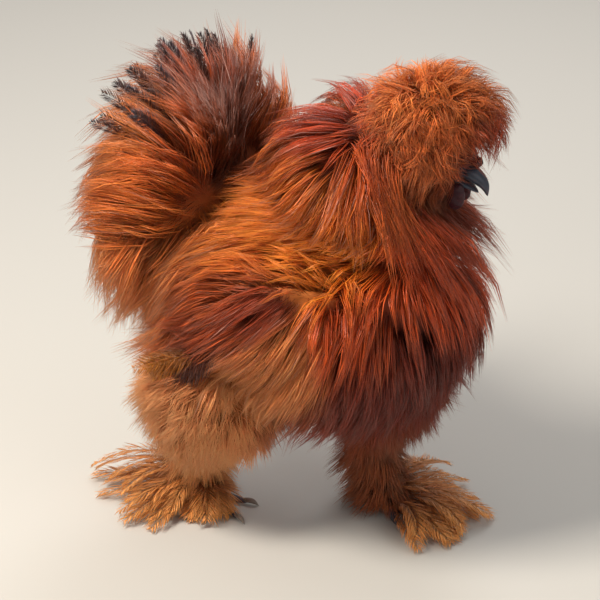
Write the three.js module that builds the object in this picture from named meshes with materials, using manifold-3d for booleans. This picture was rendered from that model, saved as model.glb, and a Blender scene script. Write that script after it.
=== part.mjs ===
// A silkie cockerel in mid-stride, life size, as a still model. Millimetres.
// +X is the way the bird faces, +Y its left side, +Z up, and the soles rest on z = 0.
// Each part has a core of flesh and down, and the long soft plumage stands on it as flat, tapered
// locks that are sunk into the core, overlap along the lie of the coat and end in points.
import * as THREE from "three";
import { mergeVertices } from "three/addons/utils/BufferGeometryUtils.js";
import Module from "manifold-3d";

const wasm = await Module();
wasm.setup();

// Driving sizes
const GAP = 0.3; // between pieces that touch
const HEAD_AT = [81, -1, 281]; // middle of the skull
const HEAD_TURN = 10; // degrees, the head looks to its own left
const TAIL_AT = [-78, 4, 188]; // where the tail grows from the back
const TAIL_TURN = -10; // degrees, the tail swings to the bird's right
const RIGHT_FOOT = [-78, -17];
const LEFT_FOOT = [39, 32];
const RIGHT_HOCK = [-84, -22, 62];
const LEFT_HOCK = [22, 34, 64];
const RIGHT_FOOT_TURN = -26;
const LEFT_FOOT_TURN = -12;
const EYE_RADIUS = 4;

const degrees = THREE.MathUtils.degToRad;
const vector = (...p) => new THREE.Vector3(...p);

let seed = 7;
function random() {
  seed = (seed * 16807) % 2147483647;
  return seed / 2147483647;
}
const varied = (value, share) => value * (1 + share * (2 * random() - 1));

// One number, read from a short list as a smooth curve, with t from 0 to 1.
function along(list, t) {
  const last = list.length - 1;
  const s = Math.min(Math.max(t, 0), 1) * last;
  const i = Math.min(Math.floor(s), last - 1);
  const f = s - i;
  const b = list[i];
  const c = list[i + 1];
  const a = i > 0 ? list[i - 1] : 2 * b - c;
  const d = i + 2 <= last ? list[i + 2] : 2 * c - b;
  return b + 0.5 * f * (c - a + f * (2 * a - 5 * b + 4 * c - d + f * (3 * (b - c) + d - a)));
}

function pointAlong(points, t) {
  return vector(...[0, 1, 2].map((k) => along(points.map((p) => p[k]), t)));
}

// A form is a swollen tube along a bent line. Its half sizes are read along the line, and a
// rounded end closes it at either side. "up" gives the direction that "high" is measured in.
// u runs along the line from 0 to 1, and v round it in degrees, from the left side over the top.
function formPoint(form, u, v, grow = 0) {
  const step = 0.001;
  const low = Math.min(Math.max(u - step, 0), 1 - 2 * step);
  const tangent = pointAlong(form.line, low + 2 * step)
    .sub(pointAlong(form.line, low))
    .normalize();
  const side = vector(...(form.up ?? [0, 0, 1])).cross(tangent).normalize();
  const top = tangent.clone().cross(side);
  const power = form.round ?? 2.2;
  const reach = Math.abs(2 * Math.min(Math.max(u, 0), 1) - 1);
  const cap = Math.pow(Math.max(1 - Math.pow(reach, power), 0), 1 / power);
  return pointAlong(form.line, u)
    .addScaledVector(tangent, grow * (2 * u - 1))
    .addScaledVector(side, (along(form.wide, u) + grow) * cap * Math.cos(degrees(v)))
    .addScaledVector(top, (along(form.high ?? form.wide, u) + grow) * cap * Math.sin(degrees(v)));
}

function solidFrom(vertices, triangles) {
  const mesh = new wasm.Mesh({
    numProp: 3,
    vertProperties: Float32Array.from(vertices),
    triVerts: Uint32Array.from(triangles),
  });
  return new wasm.Manifold(mesh);
}

// The closed surface of a form, with rings that crowd towards its ends.
function formSolid(form, grow = 0) {
  const steps = form.steps ?? 12;
  const sides = form.sides ?? 16;
  const vertices = [...formPoint(form, 0, 0, grow)];
  for (let i = 1; i < steps; i++) {
    const u = (1 - Math.cos((Math.PI * i) / steps)) / 2;
    for (let j = 0; j < sides; j++) vertices.push(...formPoint(form, u, (360 * j) / sides, grow));
  }
  vertices.push(...formPoint(form, 1, 0, grow));
  const end = vertices.length / 3 - 1;
  const at = (i, j) => 1 + (i - 1) * sides + (j % sides);
  const triangles = [];
  for (let j = 0; j < sides; j++) {
    triangles.push(0, at(1, j + 1), at(1, j));
    triangles.push(end, at(steps - 1, j), at(steps - 1, j + 1));
    for (let i = 1; i < steps - 1; i++) {
      triangles.push(at(i, j), at(i, j + 1), at(i + 1, j + 1));
      triangles.push(at(i, j), at(i + 1, j + 1), at(i + 1, j));
    }
  }
  return solidFrom(vertices, triangles);
}

function solidOfGeometry(geometry) {
  const bare = geometry.clone();
  for (const name of Object.keys(bare.attributes))
    if (name !== "position") bare.deleteAttribute(name);
  const merged = mergeVertices(bare, 1e-4);
  return solidFrom(merged.attributes.position.array, merged.index.array);
}

// One lock or vane: a flat blade with a low ridge, bent along the curve from its root by "via" to
// its tip. "out" faces away from the body. Its width swells past the root and then runs to a point.
const BLADE_PLACES = [0, 0.32, 0.62, 0.86];
const BLADE_WIDTHS = [0.5, 1, 0.92, 0.55];
const BLADE_DEPTHS = [1, 1, 0.8, 0.5];
const BLADE_BELLY = 0.6; // how far a blade is rounded on its inner face

function bladeSolid({ root, via, tip, out, wide, thick }, grow = 0) {
  const bend = new THREE.QuadraticBezierCurve3(root, via, tip);
  const vertices = [];
  BLADE_PLACES.forEach((t, i) => {
    const tangent = bend.getTangent(t);
    const side = out.clone().cross(tangent).normalize();
    const top = tangent.clone().cross(side);
    const half = (wide / 2) * BLADE_WIDTHS[i] + grow;
    const ridge = thick * BLADE_DEPTHS[i] + grow;
    const belly = BLADE_BELLY + grow;
    const middle = bend.getPoint(t).addScaledVector(tangent, i === 0 ? -grow : 0);
    const corners = [[half, 0], [0, ridge], [-half, 0], [0, -belly]];
    for (const [across, high] of corners)
      vertices.push(...middle.clone().addScaledVector(side, across).addScaledVector(top, high));
  });
  vertices.push(...tip.clone().addScaledVector(bend.getTangent(1), 3 * grow));
  const sides = 4;
  const last = BLADE_PLACES.length - 1;
  const triangles = [0, 2, 1, 0, 3, 2];
  for (let j = 0; j < sides; j++) {
    const next = (j + 1) % sides;
    for (let i = 0; i < last; i++) {
      const [a, b] = [i * sides + j, i * sides + next];
      triangles.push(a, b, b + sides, a, b + sides, a + sides);
    }
    triangles.push(last * sides + j, last * sides + next, BLADE_PLACES.length * sides);
  }
  return solidFrom(vertices, triangles);
}

// The mirror image of a form or of a blade, on the other side of the bird.
const flip = (v) => vector(v.x, -v.y, v.z);
function mirrored(form) {
  return { ...form, line: form.line.map(([x, y, z]) => [x, -y, z]) };
}
function mirroredBlade(blade) {
  return {
    ...blade,
    root: flip(blade.root),
    via: flip(blade.via),
    tip: flip(blade.tip),
    out: flip(blade.out),
  };
}

// The head and the tail are drawn in frames of their own and then set on the body.
function placed(solid, at, turn) {
  const place = new THREE.Matrix4().makeRotationZ(degrees(turn)).setPosition(...at);
  return solid.transform(place.toArray());
}

const onHead = (solid) => placed(solid, HEAD_AT, HEAD_TURN);
const onTail = (solid) => placed(solid, TAIL_AT, TAIL_TURN);

// Body forms. "tips" is how far the coat stands off the form, and "core" how far its dense part does.
const torso = {
  line: [[-88, 0, 178], [-45, 0, 164], [0, 0, 162], [47, 0, 180], [88, 0, 212]],
  wide: [44, 60, 64, 60, 46],
  high: [38, 52, 60, 56, 42],
  tips: 32,
  core: 16,
  steps: 10,
  sides: 14,
};
const neck = {
  line: [[-2, 0, 226], [40, 0, 260], [76, 0, 288]],
  wide: [64, 64, 48],
  high: [54, 60, 48],
  tips: 0,
  core: -16,
  steps: 9,
  sides: 14,
};
const skull = {
  line: [[-14, 0, -4], [2, 0, 3], [18, 0, 0], [30, 0, -8]],
  wide: [16, 18, 14, 8],
  high: [16, 19, 14, 8],
  steps: 8,
  sides: 12,
};
const crest = {
  line: [[-27, 0, 26], [12, 0, 30], [50, 0, 20]],
  wide: [40, 42, 38],
  high: [42, 44, 42],
  tips: 0,
  core: -20,
  steps: 9,
  sides: 12,
};
const tail = {
  line: [[0, 0, -66], [-14, 0, 2], [-10, 0, 67], [6, 0, 142]],
  wide: [70, 92, 92, 74],
  high: [48, 68, 70, 60],
  up: [1, 0, 0],
  tips: 0,
  core: -30,
  steps: 10,
  sides: 14,
};
const wing = {
  line: [[58, -66, 200], [15, -78, 180], [-25, -80, 160], [-52, -79, 144]],
  wide: [8, 10, 8, 4],
  high: [18, 28, 22, 8],
  steps: 9,
  sides: 10,
};
const rightThigh = {
  line: [[-22, -42, 150], [-56, -40, 93], [-82, -26, 36]],
  wide: [55, 57, 38],
  up: [1, 0, 0],
  tips: 0,
  core: -14,
  steps: 8,
  sides: 14,
};
const leftThigh = {
  line: [[28, 42, 150], [32, 42, 93], [37, 33, 36]],
  wide: [55, 54, 36],
  up: [1, 0, 0],
  tips: 0,
  core: -14,
  steps: 8,
  sides: 14,
};

// Face
const eyeMiddle = vector(15.5, -14.2, 3);
const eyeSolid = (middle, grow) =>
  solidOfGeometry(
    new THREE.IcosahedronGeometry(EYE_RADIUS + grow, 1).translate(middle.x, middle.y, middle.z),
  );
const LID_RING = EYE_RADIUS + 0.4;
const LID_TUBE = 1.1;
const LID_DEPTH = 1.2; // how far the lids' ring sits in from the middle of the eye
const lidSolid = (middle, grow) =>
  solidOfGeometry(
    new THREE.TorusGeometry(LID_RING, LID_TUBE + grow, 4, 10)
      .rotateX(Math.PI / 2)
      .translate(middle.x, middle.y - Math.sign(middle.y) * LID_DEPTH, middle.z),
  );
const earlobe = {
  line: [[0, -17.5, -1], [-3, -18, -14]],
  wide: [5, 5],
  high: [3, 3],
  up: [0, 1, 0],
  steps: 6,
  sides: 8,
};
const wattle = {
  line: [[25, -6, -13], [22, -8, -31]],
  wide: [5, 7],
  high: [3, 3.5],
  up: [0, 1, 0],
  steps: 6,
  sides: 8,
};
const beakUpper = {
  line: [[18, 0, -5], [30, 0, -7], [39, 0, -14], [42, 0, -22]],
  wide: [8, 7.5, 4.5, 1.2],
  high: [6, 5, 3.5, 1.5],
  steps: 8,
  sides: 10,
};
const beakLower = {
  line: [[18, 0, -11], [28, 0, -15], [36, 0, -20.5]],
  wide: [7, 6, 2.5],
  high: [4, 2.6, 1.2],
  steps: 7,
  sides: 8,
};
const nostril = {
  line: [[28, -7.5, -6.5], [33, -5.8, -8.5]],
  wide: [1.2, 1.2],
  high: [1, 1],
  steps: 5,
  sides: 6,
};
const combLobe = (x, y, z, size) => ({
  line: [[x - size, y, z - 1], [x, y, z + 1], [x + size, y, z - 1]],
  wide: [size, size, size],
  high: [size * 0.8, size * 0.9, size * 0.8],
  steps: 5,
  sides: 6,
});
const COMB_LOBES = [
  combLobe(28, 0, 5, 6.5),
  combLobe(34, 0, 0, 4.5),
  combLobe(26, 6, 4, 5),
  combLobe(26, -6, 4, 5),
  combLobe(21, 3.5, 9, 4.5),
  combLobe(21, -3.5, 9, 4.5),
];

// Toes: direction in degrees from straight ahead, length, and how far the tip is lifted.
// The hallux points back, and the fifth toe of the breed stands up beside it.
const TOE_RADIUS = 3.4;
const TOE_HEIGHT = 2.5; // middle of a toe that presses on the floor, where its sole is flat
const TOES = [
  { turn: 32, length: 34, lift: 0 },
  { turn: 0, length: 44, lift: 0 },
  { turn: -34, length: 36, lift: 0 },
  { turn: 168, length: 20, lift: 0 },
  { turn: 140, length: 20, lift: 13 },
];

function toeForms(at, turn, side) {
  return TOES.flatMap((toe) => {
    const angle = degrees(turn + side * toe.turn);
    const out = (r, z) => [at[0] + r * Math.cos(angle), at[1] + r * Math.sin(angle), z];
    const knuckle = TOE_HEIGHT + toe.lift * 0.5;
    const end = TOE_HEIGHT - 0.7 + toe.lift;
    return [
      {
        line: [out(-3, 6.5), out(toe.length * 0.45, knuckle), out(toe.length, end)],
        wide: [4.2, TOE_RADIUS, 2.8],
        steps: 5,
        sides: 6,
      },
      {
        line: [
          out(toe.length - 5, end + 0.8),
          out(toe.length + 3, end + 1.2),
          out(toe.length + 8, end - 1.6),
        ],
        wide: [2, 1.8, 0.5],
        steps: 4,
        sides: 5,
      },
    ];
  });
}

function shankForm(hock, at) {
  return {
    line: [hock, [(hock[0] + at[0]) / 2 - 2, (hock[1] + at[1]) / 2, hock[2] / 2], [at[0], at[1], 6]],
    wide: [7, 5.5, 6.5],
    up: [1, 0, 0],
    steps: 6,
    sides: 7,
  };
}

// Locks that lie along a form: each starts sunk in the core and rises to the tips of the coat.
function coatLock(form, u, v, { du, dv, wide, thick, lift = 0 }) {
  const root = formPoint(form, u, v, form.core - 5);
  const via = formPoint(form, u + du * 0.45, v + dv * 0.45, form.core + (form.tips - form.core) * 1.15);
  const tip = formPoint(form, u + du, v + dv, form.tips + lift);
  const axis = pointAlong(form.line, Math.min(Math.max(u + du * 0.4, 0), 1));
  const out = via.clone().sub(axis).normalize();
  return { root, via, tip, out, wide, thick };
}

// Breast, belly and back: rows round the body that flow to the tail and down the flanks.
const BODY_ROWS = [
  { u: 0.94, vs: [-90, -35, 20, 160, 215], du: -0.17, wide: 48 },
  { u: 0.8, vs: [-90, -52, -15, 195, 232], du: -0.2, wide: 46 },
  { u: 0.64, vs: [-100, -50, 210], du: -0.22, wide: 46 },
  { u: 0.46, vs: [-90, 50, 90, 130], du: -0.24, wide: 46 },
  { u: 0.28, vs: [-90, 35, 70, 110, 145], du: -0.2, wide: 44 },
];
function bodyLocks() {
  return BODY_ROWS.flatMap((row) =>
    row.vs.map((v) => {
      const fall = -Math.cos(degrees(v)) * 20;
      return coatLock(torso, row.u + 0.03 * (random() - 0.5), v + 10 * (random() - 0.5), {
        du: varied(row.du, 0.15),
        dv: fall,
        wide: varied(row.wide, 0.15),
        thick: 7,
        lift: 3 * (random() - 0.3),
      });
    }),
  );
}

// The hackle falls from the nape over the shoulders and the upper back.
const HACKLE_ROWS = [
  { u: 0.86, vs: [-35, 10, 60, 120, 170, 215], du: -0.42, wide: 40 },
  { u: 0.62, vs: [-15, 32, 90, 148, 195], du: -0.42, wide: 42 },
  { u: 0.4, vs: [10, 58, 122, 170], du: -0.42, wide: 42 },
];
function hackleLocks() {
  return HACKLE_ROWS.flatMap((row) =>
    row.vs.map((v) =>
      coatLock(neck, row.u, v + 8 * (random() - 0.5), {
        du: varied(row.du, 0.12),
        dv: -Math.cos(degrees(v)) * 22,
        wide: varied(row.wide, 0.15),
        thick: 6,
        lift: 2 + 3 * random(),
      }),
    ),
  );
}

// Points spread evenly over a ball, as directions.
function spread(count) {
  const turn = Math.PI * (3 - Math.sqrt(5));
  return Array.from({ length: count }, (_, i) => {
    const z = 1 - (2 * (i + 0.5)) / count;
    const r = Math.sqrt(1 - z * z);
    return vector(r * Math.cos(i * turn), r * Math.sin(i * turn), z);
  });
}

// A ball of locks that stream out from its core and bend as "bend" says.
function ballLocks({ middle, radii, count, keep, bend, inner, wide, thick }) {
  const reach = (d, share) => middle.clone().add(d.clone().multiply(radii).multiplyScalar(share));
  return spread(count)
    .filter(keep)
    .map((d) => {
      const end = d.clone().add(bend(d)).normalize();
      const share = 1 + 0.05 * (2 * random() - 1);
      return {
        root: reach(d, inner * 0.7),
        via: reach(d.clone().lerp(end, 0.35).normalize(), 0.86 * share),
        tip: reach(end, share),
        out: d.clone(),
        wide: varied(wide, 0.15),
        thick,
      };
    });
}

// The crest is a round pompom of soft clumps that rise from the crown and fall all round.
const crestLocks = () =>
  ballLocks({
    middle: vector(12, 0, 27),
    radii: vector(47, 42, 45),
    count: 30,
    keep: (d) => d.z > -0.62 && !(d.x > 0.55 && d.z < -0.35),
    bend: (d) => vector(0.1, 0, -0.55).addScaledVector(d, 0.1),
    inner: 0.52,
    wide: 36,
    thick: 8,
  });

// The tail is a cushion: its feathers stream up and back, and curl over at the sides.
const tailLocks = () =>
  ballLocks({
    middle: vector(-14, 0, 38),
    radii: vector(73, 92, 103),
    count: 40,
    keep: (d) => !(d.x > 0.35 && d.z < 0.45) && d.z > -0.93,
    bend: (d) => vector(-0.1, 0, d.z > 0.35 ? 0.12 : -0.55),
    inner: 0.5,
    wide: 52,
    thick: 9,
  });

// Beard and muffs: short locks under the bill and over the cheeks.
function beardLocks() {
  const rows = [
    { x: 11, z: -11, spots: [-12, 0, 12], fall: 36 },
    { x: 0, z: -6, spots: [-17, 17], fall: 40 },
  ];
  return rows.flatMap((row) =>
    row.spots.map((y) => ({
      root: vector(row.x - 2, y * 0.6, row.z + 4),
      via: vector(row.x + 3, y * 1.3, row.z - row.fall * 0.45),
      tip: vector(row.x - 4, y * 1.35, row.z - varied(row.fall, 0.12)),
      out: vector(0.5, y / 10, -0.1).normalize(),
      wide: 22,
      thick: 5,
    })),
  );
}

// The wing: flight feathers in a fan from its rear edge, and two tiers of coverts over them.
function wingVanes() {
  const flights = Array.from({ length: 6 }, (_, i) => {
    const t = i / 5;
    const root = vector(4 - 46 * t, -81 - 2 * t, 172 - 22 * t);
    const angle = degrees(-62 + 34 * t);
    const reach = varied(46 - 6 * t, 0.06);
    const tip = root.clone().add(vector(-Math.cos(angle) * reach, 3, Math.sin(angle) * reach));
    return { root, via: root.clone().lerp(tip, 0.5).add(vector(0, -3, 0)), tip, wide: 20, thick: 1.6 };
  });
  const coverts = [0, 1].flatMap((tier) =>
    Array.from({ length: 4 }, (_, i) => {
      const t = (i + 0.5 * tier) / 4;
      const root = vector(44 - 66 * t, -75 - 7 * Math.sin(Math.PI * t), 204 - 30 * t - 14 * tier);
      const tip = root.clone().add(vector(-26 - 6 * tier, -6, -27 - 4 * tier));
      return { root, via: root.clone().lerp(tip, 0.5).add(vector(0, -9, 3)), tip, wide: 29, thick: 4 };
    }),
  );
  return [...flights, ...coverts].map((blade) => ({ ...blade, out: vector(0, -1, 0.15) }));
}

// Fluff on the thigh, in rows that fall to the hock.
function thighLocks(form) {
  return [0.3, 0.58].flatMap((u, row) =>
    [20, 80, 140, 200, 260, 320].map((v) =>
      coatLock(form, u, v + 30 * row, {
        du: varied(0.36, 0.12),
        dv: 8,
        wide: varied(38 - 8 * row, 0.1),
        thick: 7,
        lift: 2 * random(),
      }),
    ),
  );
}

// Foot feathers: a flat fan from the outer side of the shank and toes, close over the floor.
// Each has its direction on the floor, where it starts from the ankle, its length and its height.
const RIGHT_FAN = [
  { way: -30, start: 14, length: 26, high: 13 },
  { way: -62, start: 6, length: 40, high: 13 },
  { way: -90, start: 2, length: 60, high: 14 },
  { way: -112, start: 1, length: 66, high: 15 },
  { way: -134, start: 1, length: 72, high: 17 },
  { way: -156, start: 0, length: 80, high: 19 },
  { way: -178, start: 0, length: 84, high: 22 },
];
const LEFT_FAN = [
  { way: -34, start: 26, length: 44, high: 12 },
  { way: -12, start: 24, length: 52, high: 12 },
  { way: 10, start: 20, length: 54, high: 13 },
  { way: 36, start: 3, length: 62, high: 13 },
  { way: 66, start: 2, length: 62, high: 14 },
  { way: 98, start: 1, length: 64, high: 16 },
  { way: 132, start: 0, length: 66, high: 19 },
];
function footFeathers(at, fan) {
  return fan.map(({ way: heading, start, length, high }) => {
    const way = degrees(heading);
    const out = (r, z) => vector(at[0] + r * Math.cos(way), at[1] + r * Math.sin(way), z);
    return {
      root: out(start, high * 0.55),
      via: out(start + length * 0.5, high * 1.15),
      tip: out(start + varied(length, 0.06), 2.5),
      out: vector(0, 0, 1),
      wide: 23,
      thick: 3,
    };
  });
}

// Joining and cutting
const union = (solids) => wasm.Manifold.union(solids);
const without = (solid, others) => others.reduce((left, other) => left.subtract(other), solid);

function largest(solid) {
  return solid.decompose().reduce((best, piece) => (piece.volume() > best.volume() ? piece : best));
}

const coated = (form, blades, grow) =>
  union([formSolid(form, (form.core ?? 0) + grow), ...blades.map((b) => bladeSolid(b, grow))]);

const floorBlock = solidOfGeometry(new THREE.BoxGeometry(900, 900, 100).translate(0, 0, -50));

// The cores of the body, and the locks of a coat that don't end inside a neighbour's core.
const cores = {
  skull: onHead(formSolid(skull)),
  crest: onHead(formSolid(crest, crest.core)),
  neck: formSolid(neck, neck.core),
  torso: formSolid(torso, torso.core),
  tail: onTail(formSolid(tail, tail.core)),
  rightThigh: formSolid(rightThigh, rightThigh.core),
  leftThigh: formSolid(leftThigh, leftThigh.core),
  rightWing: formSolid(wing, 4),
  leftWing: formSolid(mirrored(wing), 4),
};
const HIDDEN_SHARE = 0.16;
function showing(locks, own, place = (solid) => solid) {
  const others = Object.keys(cores).filter((name) => name !== own);
  return locks.filter((lock) => {
    const solid = place(bladeSolid(lock));
    const most = solid.volume() * HIDDEN_SHARE;
    return others.every((name) => solid.intersect(cores[name]).volume() < most);
  });
}

const blades = {
  crest: showing(crestLocks(), "crest", onHead),
  tail: showing(tailLocks(), "tail", onTail),
  neck: showing(hackleLocks(), "neck"),
  torso: showing(bodyLocks(), "torso"),
  beard: beardLocks(),
  wing: wingVanes(),
  rightThigh: showing(thighLocks(rightThigh), "rightThigh"),
  leftThigh: showing(thighLocks(leftThigh), "leftThigh"),
  rightFoot: footFeathers(RIGHT_FOOT, RIGHT_FAN),
  leftFoot: footFeathers(LEFT_FOOT, LEFT_FAN),
};

function foot(at, turn, side, hock, feathers, grow) {
  const forms = [...toeForms(at, turn, side), shankForm(hock, at)];
  return union([
    ...forms.map((form) => formSolid(form, grow)),
    ...feathers.map((feather) => bladeSolid(feather, grow)),
  ]);
}

// Every node is a function of how much it is grown, so that a neighbour can be cut clear of it.
const pieces = {
  eye_right: (g) => onHead(eyeSolid(eyeMiddle, g)),
  eye_left: (g) => onHead(eyeSolid(flip(eyeMiddle), g)),
  beak_upper: (g) =>
    onHead(
      formSolid(beakUpper, g)
        .subtract(formSolid(nostril, -g))
        .subtract(formSolid(mirrored(nostril), -g)),
    ),
  beak_lower: (g) => onHead(formSolid(beakLower, g)),
  comb: (g) => onHead(union(COMB_LOBES.map((lobe) => formSolid(lobe, g)))),
  wattle_right: (g) => onHead(formSolid(wattle, g)),
  wattle_left: (g) => onHead(formSolid(mirrored(wattle), g)),
  earlobe_right: (g) => onHead(formSolid(earlobe, g)),
  earlobe_left: (g) => onHead(formSolid(mirrored(earlobe), g)),
  head: (g) =>
    onHead(
      union([
        formSolid(skull, g),
        lidSolid(eyeMiddle, g),
        lidSolid(flip(eyeMiddle), g),
        ...blades.beard.map((b) => bladeSolid(b, g)),
      ]),
    ),
  crest: (g) => onHead(coated(crest, blades.crest, g)),
  foot_right: (g) => foot(RIGHT_FOOT, RIGHT_FOOT_TURN, 1, RIGHT_HOCK, blades.rightFoot, g),
  foot_left: (g) => foot(LEFT_FOOT, LEFT_FOOT_TURN, -1, LEFT_HOCK, blades.leftFoot, g),
  wing_right: (g) => coated(wing, blades.wing, g),
  wing_left: (g) => coated(mirrored(wing), blades.wing.map(mirroredBlade), g),
  neck: (g) => coated(neck, blades.neck, g),
  tail: (g) => onTail(coated(tail, blades.tail, g)),
  leg_right: (g) => coated(rightThigh, blades.rightThigh, g),
  leg_left: (g) => coated(leftThigh, blades.leftThigh, g),
  torso: (g) => coated(torso, blades.torso, g),
};

const COLOURS = {
  eye: 0x120c0a,
  beak: 0x3c4048,
  comb: 0x35191f,
  wattle: 0x35191f,
  earlobe: 0x3a8f94,
  head: 0x8a4a20,
  crest: 0x9a4a18,
  foot: 0x8a5a34,
  wing: 0x9a4216,
  neck: 0x7d2c12,
  tail: 0xb06a2e,
  torso: 0x8f3c16,
  leg: 0xbe7c42,
};

const bird = new THREE.Group();
const cutters = [floorBlock];
for (const [name, make] of Object.entries(pieces)) {
  const solid = largest(without(make(0), cutters));
  cutters.push(make(GAP));
  const { vertProperties, triVerts } = solid.getMesh();
  const geometry = new THREE.BufferGeometry()
    .setAttribute("position", new THREE.BufferAttribute(vertProperties, 3))
    .setIndex(new THREE.BufferAttribute(triVerts, 1));
  geometry.computeVertexNormals();
  const color = COLOURS[name.split("_")[0]];
  const material = new THREE.MeshStandardMaterial({ color, roughness: 0.8, metalness: 0 });
  const mesh = new THREE.Mesh(geometry, material);
  mesh.name = name;
  bird.add(mesh);
}

// The origin is on the floor, under the middle of the bird's box.
const box = new THREE.Box3().setFromObject(bird);
const middle = box.getCenter(vector());
bird.position.set(-middle.x, -middle.y, 0);

export default bird;
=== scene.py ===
# %% [markdown]
# # A red silkie cockerel
# The bird is a soft one: nearly all that the eye meets is plumage whose barbs don't hook together,
# so it hangs like silk. The work goes in the order of the real thing: the flesh as one skin, the
# horn and bare skin of the face and feet, and then the plumage, strand by strand, on top.

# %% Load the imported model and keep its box
import math
import bpy
import numpy as np
from mathutils import Matrix, Vector
from mathutils.bvhtree import BVHTree


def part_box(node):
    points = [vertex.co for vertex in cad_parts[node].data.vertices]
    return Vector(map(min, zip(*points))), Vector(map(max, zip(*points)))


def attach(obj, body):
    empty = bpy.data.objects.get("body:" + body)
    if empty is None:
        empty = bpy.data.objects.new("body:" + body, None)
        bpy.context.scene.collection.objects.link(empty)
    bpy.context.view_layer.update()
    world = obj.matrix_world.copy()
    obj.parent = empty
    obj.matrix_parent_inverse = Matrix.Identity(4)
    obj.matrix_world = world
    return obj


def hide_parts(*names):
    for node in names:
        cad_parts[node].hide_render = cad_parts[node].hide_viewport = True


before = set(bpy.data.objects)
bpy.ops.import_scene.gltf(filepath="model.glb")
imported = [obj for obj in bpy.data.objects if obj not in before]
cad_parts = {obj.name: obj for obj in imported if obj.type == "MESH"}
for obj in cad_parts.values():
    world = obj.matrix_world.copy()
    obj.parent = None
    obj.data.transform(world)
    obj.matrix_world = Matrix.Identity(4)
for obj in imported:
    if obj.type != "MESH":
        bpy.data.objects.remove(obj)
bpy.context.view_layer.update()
MM = 0.001

# %% [markdown]
# ## Camera
# The bird was seen from a little above and from its right front. A near camera with a short lens
# would swell the head, so a long lens looks on from 1.8 m and keeps the proportions true.

# %% Camera
AIM = Vector((0, 0, 0.158))  # metres, the middle of the picture
AZIMUTH, ELEVATION, DISTANCE = math.radians(30), math.radians(25), 1.8
FRAME_WIDTH = 0.400  # how much of the aim's plane the picture spans, 600 pixels at 1.5 a millimetre


def from_view(azimuth, elevation):
    flat = math.cos(elevation)
    return Vector((math.sin(azimuth) * flat, -math.cos(azimuth) * flat, math.sin(elevation)))


def aim_at(obj, place, point):
    obj.location = place
    obj.rotation_euler = (point - place).to_track_quat("-Z", "Y").to_euler()


camera = bpy.data.objects.new("camera", bpy.data.cameras.new("camera"))
bpy.context.collection.objects.link(camera)
camera.data.sensor_width = 36
camera.data.lens = 36 * DISTANCE / FRAME_WIDTH
aim_at(camera, AIM + DISTANCE * from_view(AZIMUTH, ELEVATION), AIM)
bpy.context.scene.camera = camera
print("camera lens", round(camera.data.lens), "mm")

# %% [markdown]
# ## Light
# Plumage shows its gloss where something bright is mirrored along the strands. A bare lamp would
# give hard spots, so large panels do it. A warm one stands in for the sun from the left, a weak one
# opens the shadows, and one from behind parts the bird from the floor.


# %% Lights
def soft_light(name, azimuth, elevation, distance, size, power, colour=(1, 1, 1)):
    data = bpy.data.lights.new(name, "AREA")
    data.size = size
    data.color = colour
    data.energy = power
    light = bpy.data.objects.new(name, data)
    bpy.context.collection.objects.link(light)
    aim_at(light, AIM + distance * from_view(math.radians(azimuth), math.radians(elevation)), AIM)


soft_light("key", -32, 52, 1.4, 0.45, 26, (1, 0.93, 0.82))
soft_light("fill", 80, 30, 1.6, 1.2, 4)
soft_light("rim", 200, 45, 1.5, 0.6, 8)

world = bpy.data.worlds.new("room")
world.use_nodes = True
world.node_tree.nodes["Background"].inputs["Color"].default_value = (1, 0.97, 0.92, 1)
world.node_tree.nodes["Background"].inputs["Strength"].default_value = 0.4
bpy.context.scene.world = world
bpy.context.scene.view_settings.view_transform = "Standard"
print("lights", len(bpy.data.lights))

# %% [markdown]
# ## Materials
# Each finish starts from its real material, as a few nodes about one shader. The helpers below turn
# a colour to linear light, add a node, and give noise whose blobs have a real size.


# %% Material helpers
def linear(hexcode, alpha=1.0):
    """sRGB hex to linear."""
    parts = [int(hexcode[i : i + 2], 16) / 255 for i in (1, 3, 5)]
    return [c / 12.92 if c <= 0.04045 else ((c + 0.055) / 1.055) ** 2.4 for c in parts] + [alpha]


def add_node(tree, kind, settings=None, inputs=None):
    """Adds a node, with settings by name, and inputs as values or as sockets to link."""
    node = tree.nodes.new(kind)
    for key, value in (settings or {}).items():
        setattr(node, key, value)
    for key, value in (inputs or {}).items():
        if isinstance(value, bpy.types.NodeSocket):
            tree.links.new(value, node.inputs[key])
        else:
            node.inputs[key].default_value = value
    return node


def new_material(name):
    material = bpy.data.materials.new(name)
    material.use_nodes = True
    tree = material.node_tree
    tree.nodes.clear()
    shader = add_node(tree, "ShaderNodeBsdfPrincipled")
    output = add_node(tree, "ShaderNodeOutputMaterial")
    tree.links.new(shader.outputs["BSDF"], output.inputs["Surface"])
    return material, tree, shader


def grain(tree, size_mm, detail=3.0):
    """Noise in object space whose blobs are about size_mm across."""
    place = add_node(tree, "ShaderNodeTexCoord").outputs["Object"]
    settings = {"Vector": place, "Scale": 1 / (size_mm * MM), "Detail": detail}
    return add_node(tree, "ShaderNodeTexNoise", inputs=settings).outputs["Fac"]


def bump(tree, shader, height, depth_mm, strength=1.0):
    settings = {"Height": height, "Distance": depth_mm * MM, "Strength": strength}
    relief = add_node(tree, "ShaderNodeBump", inputs=settings)
    tree.links.new(relief.outputs["Normal"], shader.inputs["Normal"])


# %% [markdown]
# ## Plumage
# Plumage is keratin, IOR 1.55, with a soft gloss along its strands, and down is the same stuff so
# fine that it looks matt. A picture could colour it, but then skin and strands would each need one.
# So the colour comes from an attribute that holds the markings, with painted shade and sheen
# in them, and both read it.

# %% Plumage materials
SPECKLE_MM, SPECKLE = 1.5, 0.18  # uneven dye: the size of its blobs, and how far it goes


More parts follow.
